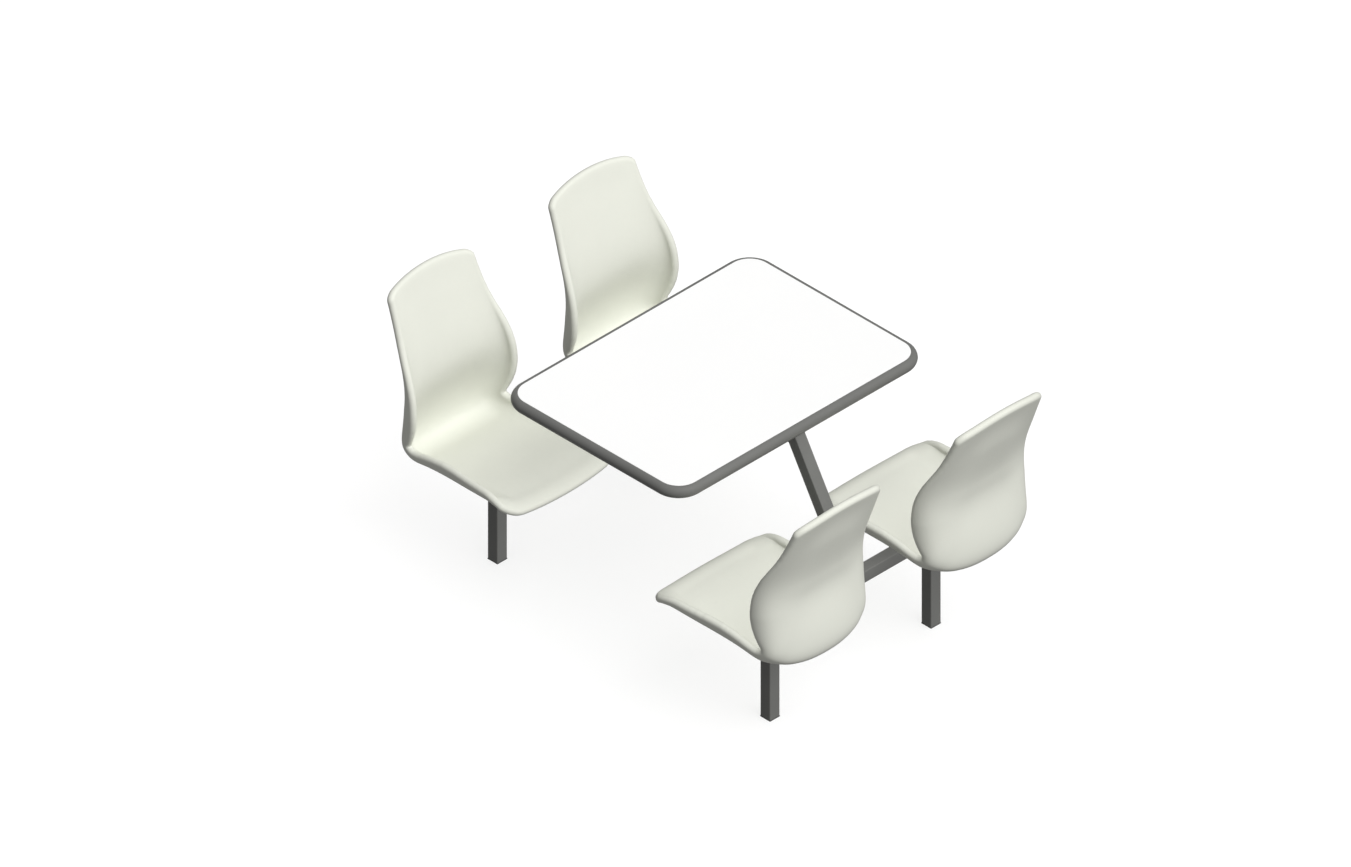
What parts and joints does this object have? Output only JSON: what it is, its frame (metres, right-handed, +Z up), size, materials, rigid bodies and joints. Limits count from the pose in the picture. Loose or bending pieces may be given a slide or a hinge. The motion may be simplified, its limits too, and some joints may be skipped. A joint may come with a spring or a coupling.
{
  "type": "canteen table with swivel seats",
  "caption": "Rectangular canteen table on two slanting struts, with bucket seats on posts at both sides, each turning on a self-centring swivel.",
  "frame": {"origin": "on the floor, under the middle of the tabletop", "axes": "+X along the tabletop's long side, which is also from seat to seat on one side; +Y across the table from the front pair of seats to the rear pair; +Z up"},
  "size_m": [1.1064, 1.7068, 0.894],
  "materials": {
    "frame_grey": "satin dark grey powder coat",
    "edge_grey": "satin dark grey moulded edge band",
    "laminate_white": "white high pressure laminate, low gloss",
    "backer_grey": "plain grey backing laminate",
    "chipboard": "raw particle board",
    "seat_cream": "cream moulded glass fibre, fine satin texture",
    "plate_black": "black painted steel",
    "zinc_steel": "bright zinc plate",
    "bare_steel": "turned steel, lightly oiled",
    "bush_nylon": "natural nylon",
    "sleeve_rubber": "black rubber",
    "foot_plastic": "black polyethylene"
  },
  "bodies": {
    "frame": {"tabletop_board": "chipboard", "tabletop_laminate": "laminate_white", "tabletop_backer": "backer_grey", "tabletop_edge_band": "edge_grey", "top_bearer": "frame_grey", "front_rail": "frame_grey", "rear_rail": "frame_grey", "front_strut": "frame_grey", "rear_strut": "frame_grey", "front_top_plate": "frame_grey", "rear_top_plate": "frame_grey", "table_screws": "zinc_steel", "post_feet": "foot_plastic", "post_front_left": "frame_grey", "swivel_housing_front_left": "frame_grey", "stop_pin_front_left": "zinc_steel", "swivel_bushes_front_left": "bush_nylon", "return_sleeve_front_left": "sleeve_rubber", "post_front_right": "frame_grey", "swivel_housing_front_right": "frame_grey", "stop_pin_front_right": "zinc_steel", "swivel_bushes_front_right": "bush_nylon", "return_sleeve_front_right": "sleeve_rubber", "post_rear_left": "frame_grey", "swivel_housing_rear_left": "frame_grey", "stop_pin_rear_left": "zinc_steel", "swivel_bushes_rear_left": "bush_nylon", "return_sleeve_rear_left": "sleeve_rubber", "post_rear_right": "frame_grey", "swivel_housing_rear_right": "frame_grey", "stop_pin_rear_right": "zinc_steel", "swivel_bushes_rear_right": "bush_nylon", "return_sleeve_rear_right": "sleeve_rubber"},
    "seat_front_left": {"seat_shell_front_left": "seat_cream", "seat_plate_front_left": "plate_black", "seat_screws_front_left": "zinc_steel", "spindle_front_left": "bare_steel", "circlip_front_left": "bare_steel"},
    "seat_front_right": {"seat_shell_front_right": "seat_cream", "seat_plate_front_right": "plate_black", "seat_screws_front_right": "zinc_steel", "spindle_front_right": "bare_steel", "circlip_front_right": "bare_steel"},
    "seat_rear_left": {"seat_shell_rear_left": "seat_cream", "seat_plate_rear_left": "plate_black", "seat_screws_rear_left": "zinc_steel", "spindle_rear_left": "bare_steel", "circlip_rear_left": "bare_steel"},
    "seat_rear_right": {"seat_shell_rear_right": "seat_cream", "seat_plate_rear_right": "plate_black", "seat_screws_rear_right": "zinc_steel", "spindle_rear_right": "bare_steel", "circlip_rear_right": "bare_steel"}
  },
  "joints": [
    {"name": "swivel_front_left", "type": "hinge", "parent": "frame", "child": "seat_front_left", "pos_m": [-0.325, -0.55, 0.3425], "axis": [0, 0, 1], "range_deg": [-25, 25], "stiffness_Nm_per_rad": 6},
    {"name": "swivel_front_right", "type": "hinge", "parent": "frame", "child": "seat_front_right", "pos_m": [0.325, -0.55, 0.3425], "axis": [0, 0, 1], "range_deg": [-25, 25], "stiffness_Nm_per_rad": 6},
    {"name": "swivel_rear_left", "type": "hinge", "parent": "frame", "child": "seat_rear_left", "pos_m": [-0.325, 0.55, 0.3425], "axis": [0, 0, 1], "range_deg": [-25, 25], "stiffness_Nm_per_rad": 6},
    {"name": "swivel_rear_right", "type": "hinge", "parent": "frame", "child": "seat_rear_right", "pos_m": [0.325, 0.55, 0.3425], "axis": [0, 0, 1], "range_deg": [-25, 25], "stiffness_Nm_per_rad": 6}
  ]
}
